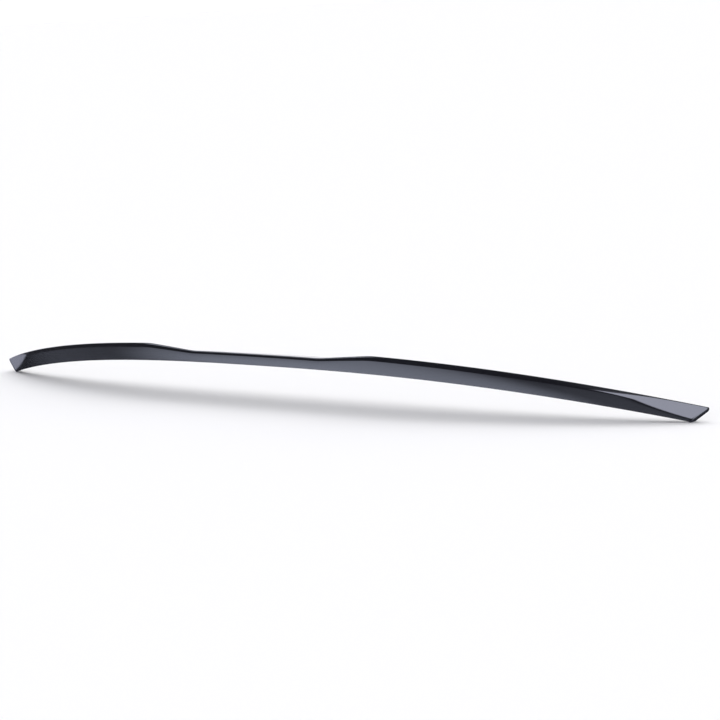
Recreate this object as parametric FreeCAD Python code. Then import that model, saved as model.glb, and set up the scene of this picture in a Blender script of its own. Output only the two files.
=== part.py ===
"""Lip spoiler for a car's tailgate: one hollow plastic moulding, the same on both sides.

X runs across the car, Y towards its front and Z up. The origin is the middle of the rear lower
edge, which is set along the tailgate's trailing edge. All sizes are in millimetres.
"""
import FreeCAD, Part
import math
import os

V = FreeCAD.Vector

# Sweep of the rear lower edge, from the middle out to its two corners
corner_reach = 600.0
sweep = 96.0
sweep_power = 2.6
crown = 51.0
crown_power = 2.55

# Rear face: low in the middle, stepped up by a short ramp, and lower again at the tips
middle_height = 15.5
raised_height = 24.0
corner_height = 22.5
ramp_start = 114.0
ramp_end = 198.0
ramp_blend = 9.0
rear_lean = 26.0

# Section
middle_lip_radius = 2.6
outer_lip_radius = 4.0
lower_edge_radius = 1.0
middle_depth = 48.0
corner_depth = 9.0
seat_slope = 6.0
front_edge = 2.2
corner_front_edge = 14.0
front_edge_power = 8.0
top_dish = 9.0

# Tips: a slanted end and a facet that turns the rear face forwards
tip_reach = 22.5
tip_sweep = 7.5
tip_rise = 16.0
end_forward = 26.0
end_outward = 3.0
facet_length = 30.0
facet_lift = 3.5

# Hollow underside between the two tape lands, with cross ribs
wall = 3.0
rear_land = 9.0
front_land = 15.0
solid_tip = 130.0
rib_pitch = 65.0
rib_thickness = 2.0

# Sections per stretch of the skin
middle_sections = 3
outer_sections = 11
skin_overrun = 14.0


def lower_edge(x):
    """Point of the rear lower edge at x, before that edge is rounded."""
    share = abs(x) / corner_reach
    return V(x, sweep * share ** sweep_power, -crown * share ** crown_power)


def soft_corner(distance):
    """Zero before a corner and the distance after it, eased over the blend."""
    if distance <= -ramp_blend:
        return 0.0
    if distance >= ramp_blend:
        return distance
    return (distance + ramp_blend) ** 2 / (4 * ramp_blend)


def ramp(x):
    """Share of the step up that is reached at x, from the low middle to the raised stretches."""
    reach = abs(x)
    return (soft_corner(reach - ramp_start) - soft_corner(reach - ramp_end)) / (ramp_end - ramp_start)


def lip_radius(x):
    """Radius of the rounded lip at x, which grows up the ramp."""
    return middle_lip_radius + (outer_lip_radius - middle_lip_radius) * ramp(x)


def face_height(x):
    """Height of the lip above the lower edge at x."""
    outer = max(0.0, (abs(x) - ramp_end) / (corner_reach - ramp_end))
    step = (raised_height - middle_height) * ramp(x)
    return middle_height + step + (corner_height - raised_height) * outer ** 2


def depth(x):
    """Distance from the rear lower edge forwards to the front edge at x."""
    share = abs(x) / corner_reach
    return middle_depth + (corner_depth - middle_depth) * share ** sweep_power


def front_height(x):
    """Height of the front edge at x: a feather edge that thickens close to the tips."""
    share = abs(x) / corner_reach
    return front_edge + (corner_front_edge - front_edge) * share ** front_edge_power


def along(angle):
    """Direction in the section that rises forwards at the angle, in degrees."""
    return V(0, math.cos(math.radians(angle)), math.sin(math.radians(angle)))


def lip_centre(x):
    """Centre of the rounded lip at x: the rear face is tangent to it."""
    lean = math.radians(rear_lean)
    run = (face_height(x) - lip_radius(x) * (1 + math.sin(lean))) / math.cos(lean)
    return lower_edge(x) + along(90 + rear_lean) * run + along(rear_lean) * lip_radius(x)


def lip_top(x):
    """Highest point of the rounded lip at x."""
    return lip_centre(x) + V(0, 0, lip_radius(x))


def top_frame(x):
    """Front upper edge of the section at x, and the slope of its top where it leaves the lip."""
    front = lower_edge(x) + along(seat_slope) * depth(x) + along(90 + seat_slope) * front_height(x)
    chord = front - lip_centre(x)
    fall = math.degrees(math.atan2(-chord.z, chord.y))
    return front, fall + top_dish


def top_poles(x):
    """Control points of the slightly dished top, from the lip to the front edge."""
    front, fall = top_frame(x)
    start = lip_centre(x) + along(90 - fall) * lip_radius(x)
    reach = (front - start).Length
    return start, start + along(-fall) * (reach / 2), front


def rounded(start, leaving, end, arriving):
    """Round corner from start to end, as one cubic curve tangent to both directions."""
    turn = leaving.getAngle(arriving)
    radius = (end - start).Length / (2 * math.sin(turn / 2))
    handle = 4 / 3 * math.tan(turn / 4) * radius
    curve = Part.BezierCurve()
    curve.setPoles([start, start + leaving * handle, end - arriving * handle, end])
    return curve.toShape()


def arched(poles):
    curve = Part.BezierCurve()
    curve.setPoles(poles)
    return curve.toShape()


def line(start, end):
    return Part.LineSegment(start, end).toShape()


def skin_section(x):
    """Closed outline of the whole section at x."""
    corner = lower_edge(x)
    seat = along(seat_slope)
    rear = along(90 + rear_lean)
    fall = top_frame(x)[1]
    start, middle, front_top = top_poles(x)
    rear_end = lip_centre(x) - along(rear_lean) * lip_radius(x)
    front_low = corner + seat * depth(x)
    trim = lower_edge_radius / math.tan(math.radians((90 + rear_lean - seat_slope) / 2))
    seat_end = corner + seat * trim
    rear_start = corner + rear * trim
    return Part.Wire([
        line(rear_start, rear_end),
        rounded(rear_end, rear, start, along(-fall)),
        arched([start, middle, front_top]),
        line(front_top, front_low),
        line(front_low, seat_end),
        rounded(seat_end, -seat, rear_start, rear),
    ])


def hollow_section(x):
    """Closed outline of the hollow at x: one wall under the top and between the two lands."""
    corner = lower_edge(x)
    seat = along(seat_slope)
    floor = along(90 + seat_slope) * -wall
    start, middle, front_top = top_poles(x)
    chord = front_top - start
    below = V(0, chord.z, -chord.y).normalize() * wall
    rear_low = corner + seat * rear_land
    front_low = corner + seat * (depth(x) - front_land)
    # Part of the top's own curve, from the rear wall to the front land
    first = start + below + along(rear_lean) * wall
    second = middle + below
    third = front_top + below
    share = (front_low - first).dot(seat) / (third - first).dot(seat)
    mid = first + (second - first) * share
    far = second + (third - second) * share
    last = mid + (far - mid) * share
    return Part.Wire([
        line(rear_low + floor, first),
        arched([first, mid, last]),
        line(last, front_low + floor),
        line(front_low + floor, rear_low + floor),
    ])


def stations(end):
    """Places of the sections from the middle to the end, close together where the ramp bends."""
    inner = ramp_start - ramp_blend
    outer = ramp_end + ramp_blend
    places = [inner * n / middle_sections for n in range(middle_sections)]
    places += [inner, ramp_start, ramp_start + ramp_blend]
    places += [(ramp_start + ramp_end) / 2]
    places += [ramp_end - ramp_blend, ramp_end, outer]
    places += [outer + (end - outer) * (n + 1) / outer_sections for n in range(outer_sections)]
    return [-x for x in reversed(places[1:])] + places


def loft(section, end):
    return Part.makeLoft([section(x) for x in stations(end)], True, False)


def half_space(point, outward):
    """Large block that fills the side of a plane that its outward direction points to."""
    size = 2 * corner_reach
    block = Part.makeBox(size, size, size, V(-size / 2, -size / 2, 0))
    block.Placement = FreeCAD.Placement(point, FreeCAD.Rotation(V(0, 0, 1), outward))
    return block


def tip_cuts():
    """Blocks that leave the slanted end and the facet at the right-hand tip."""
    low = lower_edge(corner_reach)
    tip = low + V(tip_reach, tip_sweep, tip_rise)
    end_normal = (tip - low).cross(V(end_outward, end_forward, 0))
    facet_normal = (tip - low).cross(lip_top(corner_reach - facet_length) - low)
    if end_normal.x < 0:
        end_normal = -end_normal
    if facet_normal.y > 0:
        facet_normal = -facet_normal
    crease_end = low + along(90 + rear_lean) * facet_lift
    return [half_space(low, end_normal), half_space(crease_end, facet_normal)]


def mirrored(shape):
    return shape.mirror(V(0, 0, 0), V(1, 0, 0))


def hollow():
    """The hollow of the underside, parted by the cross ribs."""
    reach = corner_reach - solid_tip
    space = loft(hollow_section, reach)
    count = int(reach / rib_pitch)
    size = 2 * corner_reach
    ribs = []
    for n in range(-count, count + 1):
        place = V(n * rib_pitch - rib_thickness / 2, -size / 2, -size / 2)
        ribs.append(Part.makeBox(rib_thickness, size, size, place))
    return space.cut(ribs)


def spoiler_body():
    skin = loft(skin_section, corner_reach + tip_reach + skin_overrun)
    cuts = tip_cuts()
    body = skin.cut(cuts + [mirrored(block) for block in cuts])
    return body.cut(hollow())


os.makedirs("parts", exist_ok=True)
body = spoiler_body()
print("valid", body.isValid(), "solids", len(body.Solids), "faces", len(body.Faces))
print("volume cm3", round(body.Volume / 1000, 1), body.BoundBox)
body.exportStep("parts/spoiler_body.step")
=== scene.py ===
"""Gloss black tailgate lip spoiler on a pale studio floor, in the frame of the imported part."""
import math

import bpy
import numpy as np
from mathutils import Matrix, Vector

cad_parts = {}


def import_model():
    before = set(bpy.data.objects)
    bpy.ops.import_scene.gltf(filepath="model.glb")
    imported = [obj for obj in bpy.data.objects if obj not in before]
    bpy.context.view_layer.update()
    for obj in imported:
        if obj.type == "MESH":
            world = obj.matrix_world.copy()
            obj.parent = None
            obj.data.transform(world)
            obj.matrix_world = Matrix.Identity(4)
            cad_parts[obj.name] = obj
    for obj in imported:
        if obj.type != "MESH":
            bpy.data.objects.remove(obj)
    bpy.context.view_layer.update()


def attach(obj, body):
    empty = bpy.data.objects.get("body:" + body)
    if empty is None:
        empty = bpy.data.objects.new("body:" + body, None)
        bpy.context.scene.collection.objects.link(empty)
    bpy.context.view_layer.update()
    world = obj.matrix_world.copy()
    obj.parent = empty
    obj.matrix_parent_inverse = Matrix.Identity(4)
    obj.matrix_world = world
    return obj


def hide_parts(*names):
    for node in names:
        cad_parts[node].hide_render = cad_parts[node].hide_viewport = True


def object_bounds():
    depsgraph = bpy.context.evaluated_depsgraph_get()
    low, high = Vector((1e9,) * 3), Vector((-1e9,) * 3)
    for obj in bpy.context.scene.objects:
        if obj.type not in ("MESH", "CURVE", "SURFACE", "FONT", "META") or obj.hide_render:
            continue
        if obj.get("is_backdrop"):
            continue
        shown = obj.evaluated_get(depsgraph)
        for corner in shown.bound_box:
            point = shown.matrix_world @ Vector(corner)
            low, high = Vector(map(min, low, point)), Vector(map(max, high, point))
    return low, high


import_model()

# Sizes of the moulding in millimetres, as in the solid
CORNER_REACH = 600.0
SWEEP, SWEEP_POWER = 96.0, 2.6
CROWN, CROWN_POWER = 51.0, 2.55
MIDDLE_HEIGHT, RAISED_HEIGHT, CORNER_HEIGHT = 15.5, 24.0, 22.5
RAMP_START, RAMP_END, RAMP_BLEND = 114.0, 198.0, 9.0
REAR_LEAN = 26.0
MIDDLE_LIP_RADIUS, OUTER_LIP_RADIUS = 2.6, 4.0
LOWER_EDGE_RADIUS = 1.0
MIDDLE_DEPTH, CORNER_DEPTH = 48.0, 9.0
SEAT_SLOPE = 6.0
FRONT_EDGE, CORNER_FRONT_EDGE, FRONT_EDGE_POWER = 2.2, 14.0, 8.0
TOP_DISH = 9.0
TIP = np.array((22.5, 7.5, 16.0))
END_DIRECTION = np.array((3.0, 26.0, 0.0))
FACET_LENGTH, FACET_LIFT = 30.0, 3.5
WALL = 3.0
REAR_LAND, FRONT_LAND = 9.0, 15.0
SOLID_TIP = 130.0
RIB_PITCH, RIB_THICKNESS, RIB_DRAFT = 65.0, 2.0, 0.3
LOWER_EDGE_TURN = 90 + REAR_LEAN - SEAT_SLOPE
LOWER_EDGE_TRIM = LOWER_EDGE_RADIUS / math.tan(math.radians(LOWER_EDGE_TURN / 2))
MM = 0.001

# Largest share of the depth that each land takes, which narrows the lands towards the tips
REAR_LAND_SHARE, FRONT_LAND_SHARE = 0.35, 0.45

# Share of the hollow's points that each of its two walls has
WALL_POINTS = 0.2

# Rounding of the edges that the moulding tool softens, and the slight bulge of the rear face
END_ROUND = 2.4
CREASE_ROUND, FACET_TOP_ROUND = 1.0, 3.0
REAR_BULGE = 0.3
END_TURNS = (15.0, 30.0, 45.0, 60.0, 75.0, 90.0)
SHARP_ANGLE = 40.0

# Spacing of the rings along the moulding
COARSE, FINE, FINEST = 6.0, 1.5, 0.6
TIP_ZONE = 520.0
SEARCH_STEPS = 40

# Camera, as fitted to the photograph's outline
VIEW_AZIMUTH = math.radians(44.01)
VIEW_ELEVATION = math.radians(7.76)
VIEW_ROLL = math.radians(-3.92)
VIEW_DISTANCE = 3.2795
VIEW_TARGET = Vector((0.1375, 0.045, 0.0068))
FOCAL_PIXELS = 2663.15
PICTURE_PIXELS = 720.0
SENSOR_MM = 36.0
VIEW_REACH = 1000.0

# Studio
FLOOR_SIZE = 400.0
OVERHEAD_ENERGY = 2.40
OVERHEAD_SPREAD = 134.0
OVERHEAD_TILT = 20.0
FLOOR_COLOUR = (0.965, 0.952, 0.93, 1.0)
WALL_COLOUR = (0.045, 0.048, 0.06)

# Studio cards that the gloss reflects: name, direction, strength, tint, cosines of the rim and of
# the full glow, and the share of a direction's rise that counts, which is below 1 for a tall card
CARDS = (
    ("wall beyond", (-0.69, 0.71, -0.13), 1.0, (1.0, 1.0, 1.03), 0.93, 0.972, 1.0),
    ("left facet", (-0.955, 0.27, -0.15), 0.55, (0.92, 0.95, 1.2), 0.972, 0.992, 1.0),
    ("rear face", (-0.61, -0.345, -0.713), 1.36, (0.90, 0.97, 1.2), 0.945, 1.0, 1.0),
    ("left fill", (-0.80, -0.22, -0.56), 0.15, (0.90, 0.97, 1.2), 0.925, 0.985, 1.0),
    ("low fill", (0.0, -0.3, -0.95), 0.42, (0.90, 0.97, 1.2), 0.75, 0.93, 1.0),
    ("right facet", (0.21, -0.92, -0.03), 4.7, (0.94, 0.97, 1.17), 0.962, 0.978, 0.4),
    ("overhead", (0.0, 0.45, 0.9), 0.45, (0.94, 0.98, 1.1), 0.85, 0.97, 1.0),
    ("front", (0.42, -0.53, 0.74), 0.95, (0.94, 0.97, 1.1), 0.84, 0.97, 1.0),
    ("lip line", (-0.71, 0.12, 0.69), 2.6, (0.94, 0.97, 1.15), 0.984, 0.996, 1.0),
)


def along(angle):
    """Directions in the section that rise forwards at the angles, in degrees."""
    turn = np.radians(np.asarray(angle, dtype=float))
    return np.stack((np.zeros_like(turn), np.cos(turn), np.sin(turn)), axis=-1)


def lower_edge(x):
    share = np.abs(x) / CORNER_REACH
    return np.stack((x, SWEEP * share ** SWEEP_POWER, -CROWN * share ** CROWN_POWER), axis=-1)


def soft_corner(distance):
    """Zero before a corner and the distance after it, eased over the blend."""
    eased = (distance + RAMP_BLEND) ** 2 / (4 * RAMP_BLEND)
    return np.where(distance <= -RAMP_BLEND, 0.0, np.where(distance >= RAMP_BLEND, distance, eased))


def ramp(x):
    """Share of the step up that is reached, from the low middle to the raised stretches."""
    reach = np.abs(x)
    return (soft_corner(reach - RAMP_START) - soft_corner(reach - RAMP_END)) / (RAMP_END - RAMP_START)


def lip_radius(x):
    return MIDDLE_LIP_RADIUS + (OUTER_LIP_RADIUS - MIDDLE_LIP_RADIUS) * ramp(x)


def face_height(x):
    outer = np.maximum(0.0, (np.abs(x) - RAMP_END) / (CORNER_REACH - RAMP_END))
    step = (RAISED_HEIGHT - MIDDLE_HEIGHT) * ramp(x)
    return MIDDLE_HEIGHT + step + (CORNER_HEIGHT - RAISED_HEIGHT) * outer ** 2


def depth(x):
    share = np.abs(x) / CORNER_REACH
    return MIDDLE_DEPTH + (CORNER_DEPTH - MIDDLE_DEPTH) * share ** SWEEP_POWER


def front_height(x):
    share = np.abs(x) / CORNER_REACH
    return FRONT_EDGE + (CORNER_FRONT_EDGE - FRONT_EDGE) * share ** FRONT_EDGE_POWER


def scaled(direction, length):
    return direction * np.asarray(length)[..., None]


def lip_centre(x):
    lean = math.radians(REAR_LEAN)
    run = (face_height(x) - lip_radius(x) * (1 + math.sin(lean))) / math.cos(lean)
    return lower_edge(x) + scaled(along(90 + REAR_LEAN), run) + scaled(along(REAR_LEAN), lip_radius(x))


def top_frame(x):
    """Front upper edge of the section, and the slope of its top where it leaves the lip."""
    low = lower_edge(x) + scaled(along(SEAT_SLOPE), depth(x))
    front = low + scaled(along(90 + SEAT_SLOPE), front_height(x))
    chord = front - lip_centre(x)
    return front, np.degrees(np.arctan2(-chord[..., 2], chord[..., 1])) + TOP_DISH


def top_poles(x):
    front, fall = top_frame(x)
    start = lip_centre(x) + scaled(along(90 - fall), lip_radius(x))
    reach = np.linalg.norm(front - start, axis=-1)
    return start, start + scaled(along(-fall), reach / 2), front


def mixed(a, b, share):
    return a + (b - a) * np.asarray(share)[..., None]


def arched(poles, share):
    first, middle, last = poles
    return mixed(mixed(first, middle, share), mixed(middle, last, share), share)


def rear_face(x, share):
    low = lower_edge(x) + along(90 + REAR_LEAN) * LOWER_EDGE_TRIM
    flat = mixed(low, lip_centre(x) - scaled(along(REAR_LEAN), lip_radius(x)), share)
    return flat - scaled(along(REAR_LEAN), 4 * share * (1 - share) * REAR_BULGE)


def lip(x, share):
    start, end = 180 + REAR_LEAN, 90 - top_frame(x)[1]
    return lip_centre(x) + scaled(along(start + (end - start) * share), lip_radius(x))


def top(x, share):
    return arched(top_poles(x), share)


def front_edge(x, share):
    return mixed(top_frame(x)[0], lower_edge(x) + scaled(along(SEAT_SLOPE), depth(x)), share)


def land_widths(x):
    """Widths of the rear and the front tape land, narrower where the tips leave no room."""
    rear = np.minimum(REAR_LAND, REAR_LAND_SHARE * depth(x))
    front = np.minimum(FRONT_LAND, FRONT_LAND_SHARE * depth(x))
    return rear, front


def front_land(x, share):
    place = depth(x) - land_widths(x)[1] * share
    return lower_edge(x) + scaled(along(SEAT_SLOPE), place)


def hollow_poles(x):
    """Control points of the hollow's roof, one wall under the top and clear of both lands."""
    start, middle, front = top_poles(x)
    chord = front - start
    below = np.stack((np.zeros_like(chord[..., 0]), chord[..., 2], -chord[..., 1]), axis=-1)
    below *= WALL / np.linalg.norm(below, axis=-1, keepdims=True)
    first = start + below + along(REAR_LEAN) * WALL
    second, third = middle + below, front + below
    seat = along(SEAT_SLOPE)
    inner = lower_edge(x) + scaled(seat, depth(x) - land_widths(x)[1])
    share = ((inner - first) @ seat) / ((third - first) @ seat)
    return first, mixed(first, second, share), arched((first, second, third), share)


def hollow(x, share, open_share):
    """Underside between the lands: wall, roof and wall where it is open, flat where it isn't."""
    rear_width, front_width = land_widths(x)
    place = (depth(x) - front_width) * (1 - share) + rear_width * share
    flat = lower_edge(x) + scaled(along(SEAT_SLOPE), place)
    first, middle, last = hollow_poles(x)
    rear_low = lower_edge(x) + scaled(along(SEAT_SLOPE), rear_width)
    front_low = lower_edge(x) + scaled(along(SEAT_SLOPE), depth(x) - front_width)
    roof_share = np.clip((share - WALL_POINTS) / (1 - 2 * WALL_POINTS), 0, 1)
    roof = arched((last, middle, first), roof_share)
    front_wall = mixed(front_low, last, np.clip(share / WALL_POINTS, 0, 1))
    rear_wall = mixed(first, rear_low, np.clip((share - 1 + WALL_POINTS) / WALL_POINTS, 0, 1))
    formed = np.where((share < WALL_POINTS)[..., None], front_wall, roof)
    formed = np.where((share > 1 - WALL_POINTS)[..., None], rear_wall, formed)
    return mixed(flat, formed, np.full_like(share, open_share))


def rear_land(x, share):
    width = land_widths(x)[0]
    return lower_edge(x) + scaled(along(SEAT_SLOPE), width + (LOWER_EDGE_TRIM - width) * share)


def lower_round(x, share):
    reach = LOWER_EDGE_RADIUS / math.sin(math.radians(LOWER_EDGE_TURN / 2))
    centre = lower_edge(x) + along(SEAT_SLOPE + LOWER_EDGE_TURN / 2) * reach
    start, end = SEAT_SLOPE - 90, REAR_LEAN - 180
    return centre + along(start + (end - start) * share) * LOWER_EDGE_RADIUS


# Stretches of the closed section, in order, with the points that each has
STRETCHES = (
    (rear_face, 26), (lip, 20), (top, 16), (front_edge, 6),
    (front_land, 4), (hollow, 20), (rear_land, 4), (lower_round, 6),
)
RING = sum(count for stretch, count in STRETCHES)


def outline(x, open_share=0.0):
    """Points of the closed section, each at its own place along the moulding."""
    points = []
    first = 0
    for stretch, count in STRETCHES:
        share = np.arange(count) / count
        places = x[first:first + count]
        points.append(stretch(places, share, open_share) if stretch is hollow else stretch(places, share))
        first += count
    return np.concatenate(points)


def unit(vector):
    return vector / np.linalg.norm(vector)


CORNER = lower_edge(np.array(CORNER_REACH))
END_NORMAL = unit(np.cross(END_DIRECTION, TIP))
FACET_TOP = lip_centre(np.array(CORNER_REACH - FACET_LENGTH)) + np.array((0, 0, OUTER_LIP_RADIUS))
FACET_NORMAL = -unit(np.cross(FACET_TOP - CORNER, TIP))
CREASE_END = CORNER + along(90 + REAR_LEAN) * FACET_LIFT


def end_places():
    """Place along the moulding at which each line of the section meets the slanted end."""
    low = np.full(RING, CORNER_REACH - 4 * TIP[0])
    high = np.full(RING, CORNER_REACH + 2 * TIP[0])
    for step in range(SEARCH_STEPS):
        middle = (low + high) / 2
        outside = (outline(middle) - CORNER) @ END_NORMAL > -END_ROUND
        high = np.where(outside, middle, high)
        low = np.where(outside, low, middle)
    return low


def crease_rounds():
    """Rounding of the facet's edge on each line of the section: fuller where it meets the top."""
    rounds = []
    for stretch, count in STRETCHES:
        share = np.arange(count) / count
        fuller = {lip: share, top: 1 - share ** 4}.get(stretch, np.zeros(count))
        rounds.append(CREASE_ROUND + (FACET_TOP_ROUND - CREASE_ROUND) * fuller)
    return np.concatenate(rounds)


def faceted(points):
    """Points beyond the facet's plane slid onto it along the top, with a rounded crease."""
    slide = along(-top_frame(np.array(CORNER_REACH))[1])
    slide = slide - END_NORMAL * (slide @ END_NORMAL)
    beyond = (points - CREASE_END) @ FACET_NORMAL
    kept = (beyond - np.sqrt(beyond ** 2 + crease_rounds() ** 2)) / 2
    return points + scaled(slide, (kept - beyond) / (slide @ FACET_NORMAL))


def stations():
    """Places of the rings from the middle to the tip's zone, and whether the hollow is open there."""
    places = set(np.arange(0.0, TIP_ZONE, COARSE))
    for bend in (RAMP_START, RAMP_END):
        places |= set(bend + np.arange(-2 * RAMP_BLEND, 2 * RAMP_BLEND, FINE))
    end = CORNER_REACH - SOLID_TIP
    rings = []
    edges = []
    for rib in np.arange(0.0, end, RIB_PITCH):
        half = RIB_THICKNESS / 2
        edges += [(rib - half - RIB_DRAFT, 1), (rib - half, 0)]
        edges += [(rib + half, 0), (rib + half + RIB_DRAFT, 1)]
    edges += [(end - RIB_DRAFT, 1), (end, 0)]
    edges = [edge for edge in edges if edge[0] > 0]
    for place in places:
        nearest = min(abs(place - edge[0]) for edge in edges)
        inside_rib = abs(place - RIB_PITCH * round(place / RIB_PITCH)) < RIB_THICKNESS / 2
        if nearest > FINE / 2:
            rings.append((place, 0 if inside_rib or place > end else 1))
    return sorted(rings + edges)


def inset(ring, amount):
    """Outline of the slanted end drawn in from all sides, by the same amount along it and across it."""
    drawn = ring.copy()
    lengthwise = unit(TIP)
    for axis in (lengthwise, np.cross(END_NORMAL, lengthwise)):
        place = drawn @ axis
        low, high = place.min(), place.max()
        change = (place - (low + high) / 2) * (-2 * amount / (high - low))
        drawn = drawn + np.outer(change, axis)
    return drawn


def right_half():
    """Rings of points from the middle of the moulding to its right-hand tip."""
    rings = [outline(np.full(RING, place), open_share) for place, open_share in stations()]
    ends = end_places()
    count = int((CORNER_REACH + TIP[0] - TIP_ZONE) / FINEST)
    for step in range(1, count + 1):
        rings.append(outline(TIP_ZONE + (ends - TIP_ZONE) * step / count))
    rings = [faceted(ring) for ring in rings]
    last = rings[-1]
    for turn in np.radians(END_TURNS):
        drawn = inset(last, END_ROUND * (1 - math.cos(turn)))
        rings.append(drawn + END_NORMAL * END_ROUND * math.sin(turn))
    return rings


def moulding():
    """The whole moulding as one closed mesh."""
    right = right_half()
    middle = 1 if abs(right[0][0][0]) < FINEST / 2 else 0
    left = [ring * np.array((-1, 1, 1)) for ring in reversed(right[middle:])]
    rings = left + right
    points = np.concatenate(rings) * MM
    faces = []
    for ring in range(len(rings) - 1):
        for n in range(RING):
            m = (n + 1) % RING
            here, there = ring * RING, (ring + 1) * RING
            faces.append((here + n, there + n, there + m, here + m))
    faces.append(tuple(range(RING)))
    faces.append(tuple(reversed(range(len(points) - RING, len(points)))))
    mesh = bpy.data.meshes.new("spoiler_moulding")
    mesh.from_pydata(points.tolist(), [], faces)
    mesh.shade_smooth()
    mesh.set_sharp_from_angle(angle=math.radians(SHARP_ANGLE))
    piece = bpy.data.objects.new("spoiler_moulding", mesh)
    bpy.context.collection.objects.link(piece)
    return piece


def nodes_of(material):
    material.use_nodes = True
    tree = material.node_tree
    tree.nodes.clear()
    return tree.nodes, tree.links


def gloss_black():
    """Polished black plastic: a clear gloss over a very slightly clouded black."""
    material = bpy.data.materials.new("gloss_black_plastic")
    nodes, links = nodes_of(material)
    out = nodes.new("ShaderNodeOutputMaterial")
    shader = nodes.new("ShaderNodeBsdfPrincipled")
    shader.inputs["Roughness"].default_value = 0.065
    shader.inputs["IOR"].default_value = 1.5
    shader.inputs["Coat Weight"].default_value = 0.5
    shader.inputs["Coat Roughness"].default_value = 0.03
    coords = nodes.new("ShaderNodeTexCoord")
    clouds = nodes.new("ShaderNodeTexNoise")
    clouds.inputs["Scale"].default_value = 35.0
    shades = nodes.new("ShaderNodeValToRGB")
    shades.color_ramp.elements[0].color = (0.006, 0.006, 0.008, 1)
    shades.color_ramp.elements[1].color = (0.011, 0.011, 0.014, 1)
    links.new(coords.outputs["Object"], clouds.inputs["Vector"])
    links.new(clouds.outputs["Fac"], shades.inputs["Fac"])
    links.new(shades.outputs["Color"], shader.inputs["Base Color"])
    links.new(shader.outputs["BSDF"], out.inputs["Surface"])
    return material


def floor():
    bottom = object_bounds()[0][2]
    mesh = bpy.data.meshes.new("floor")
    half = FLOOR_SIZE / 2
    sides = ((-half, -half), (half, -half), (half, half), (-half, half))
    corners = [(x, y, bottom) for x, y in sides]
    mesh.from_pydata(corners, [], [(0, 1, 2, 3)])
    plane = bpy.data.objects.new("floor", mesh)
    bpy.context.collection.objects.link(plane)
    material = bpy.data.materials.new("floor_white")
    nodes, links = nodes_of(material)
    out = nodes.new("ShaderNodeOutputMaterial")
    shader = nodes.new("ShaderNodeBsdfDiffuse")
    shader.inputs["Color"].default_value = FLOOR_COLOUR
    links.new(shader.outputs["BSDF"], out.inputs["Surface"])
    mesh.materials.append(material)
    plane.visible_glossy = False
    plane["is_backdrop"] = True


def world():
    """Dim studio walls with soft cards, one of them the white wall beyond the moulding."""
    sky = bpy.data.worlds.new("studio")
    bpy.context.scene.world = sky
    sky.use_nodes = True
    nodes, links = sky.node_tree.nodes, sky.node_tree.links
    nodes.clear()
    out = nodes.new("ShaderNodeOutputWorld")
    background = nodes.new("ShaderNodeBackground")
    coords = nodes.new("ShaderNodeTexCoord")
    walls = nodes.new("ShaderNodeCombineXYZ")
    for socket, value in zip(walls.inputs, WALL_COLOUR):
        socket.default_value = value
    colour = walls.outputs["Vector"]
    for name, direction, strength, tint, rim, full, upright in CARDS:
        squashed = nodes.new("ShaderNodeVectorMath")
        squashed.operation = "MULTIPLY"
        squashed.inputs[1].default_value = (1.0, 1.0, upright)
        level = nodes.new("ShaderNodeVectorMath")
        level.operation = "NORMALIZE"
        facing = nodes.new("ShaderNodeVectorMath")
        facing.operation = "DOT_PRODUCT"
        facing.inputs[1].default_value = Vector(direction).normalized()
        glow = nodes.new("ShaderNodeMapRange")
        glow.interpolation_type = "SMOOTHSTEP"
        glow.inputs["From Min"].default_value = rim
        glow.inputs["From Max"].default_value = full
        card = nodes.new("ShaderNodeVectorMath")
        card.operation = "MULTIPLY_ADD"
        card.label = name
        card.inputs[1].default_value = Vector(tint) * strength
        links.new(coords.outputs["Generated"], squashed.inputs[0])
        links.new(squashed.outputs["Vector"], level.inputs[0])
        links.new(level.outputs["Vector"], facing.inputs[0])
        links.new(facing.outputs["Value"], glow.inputs["Value"])
        links.new(glow.outputs["Result"], card.inputs[0])
        links.new(colour, card.inputs[2])
        colour = card.outputs["Vector"]
    links.new(colour, background.inputs["Color"])
    links.new(background.outputs["Background"], out.inputs["Surface"])


def overhead():
    """Broad light from above, which keeps the shadow under the moulding."""
    data = bpy.data.lights.new("overhead", "SUN")
    data.energy = OVERHEAD_ENERGY
    data.angle = math.radians(OVERHEAD_SPREAD)
    lamp = bpy.data.objects.new("overhead", data)
    bpy.context.collection.objects.link(lamp)
    lamp.rotation_euler.x = math.radians(-OVERHEAD_TILT)
    lamp.visible_glossy = False
    lamp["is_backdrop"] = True


def camera():
    data = bpy.data.cameras.new("camera")
    data.sensor_width = SENSOR_MM
    data.sensor_fit = "HORIZONTAL"
    data.lens = FOCAL_PIXELS / PICTURE_PIXELS * SENSOR_MM
    data.clip_end = VIEW_REACH
    eye = bpy.data.objects.new("camera", data)
    bpy.context.collection.objects.link(eye)
    sine, cosine = math.sin(VIEW_AZIMUTH), math.cos(VIEW_AZIMUTH)
    low, level = math.sin(VIEW_ELEVATION), math.cos(VIEW_ELEVATION)
    right = Vector((cosine, sine, 0.0))
    up = Vector((-sine * low, cosine * low, level))
    back = Vector((sine * level, -cosine * level, low))
    turn = Matrix.Rotation(VIEW_ROLL, 3, "Z")
    axes = Matrix((right, up, back)).transposed() @ turn
    eye.matrix_world = Matrix.Translation(VIEW_TARGET + back * VIEW_DISTANCE) @ axes.to_4x4()
    bpy.context.scene.camera = eye


body = moulding()
body.data.materials.append(gloss_black())
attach(body, "root")
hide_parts("spoiler_body")
floor()
world()
overhead()
camera()
bpy.context.scene.view_settings.view_transform = "Standard"
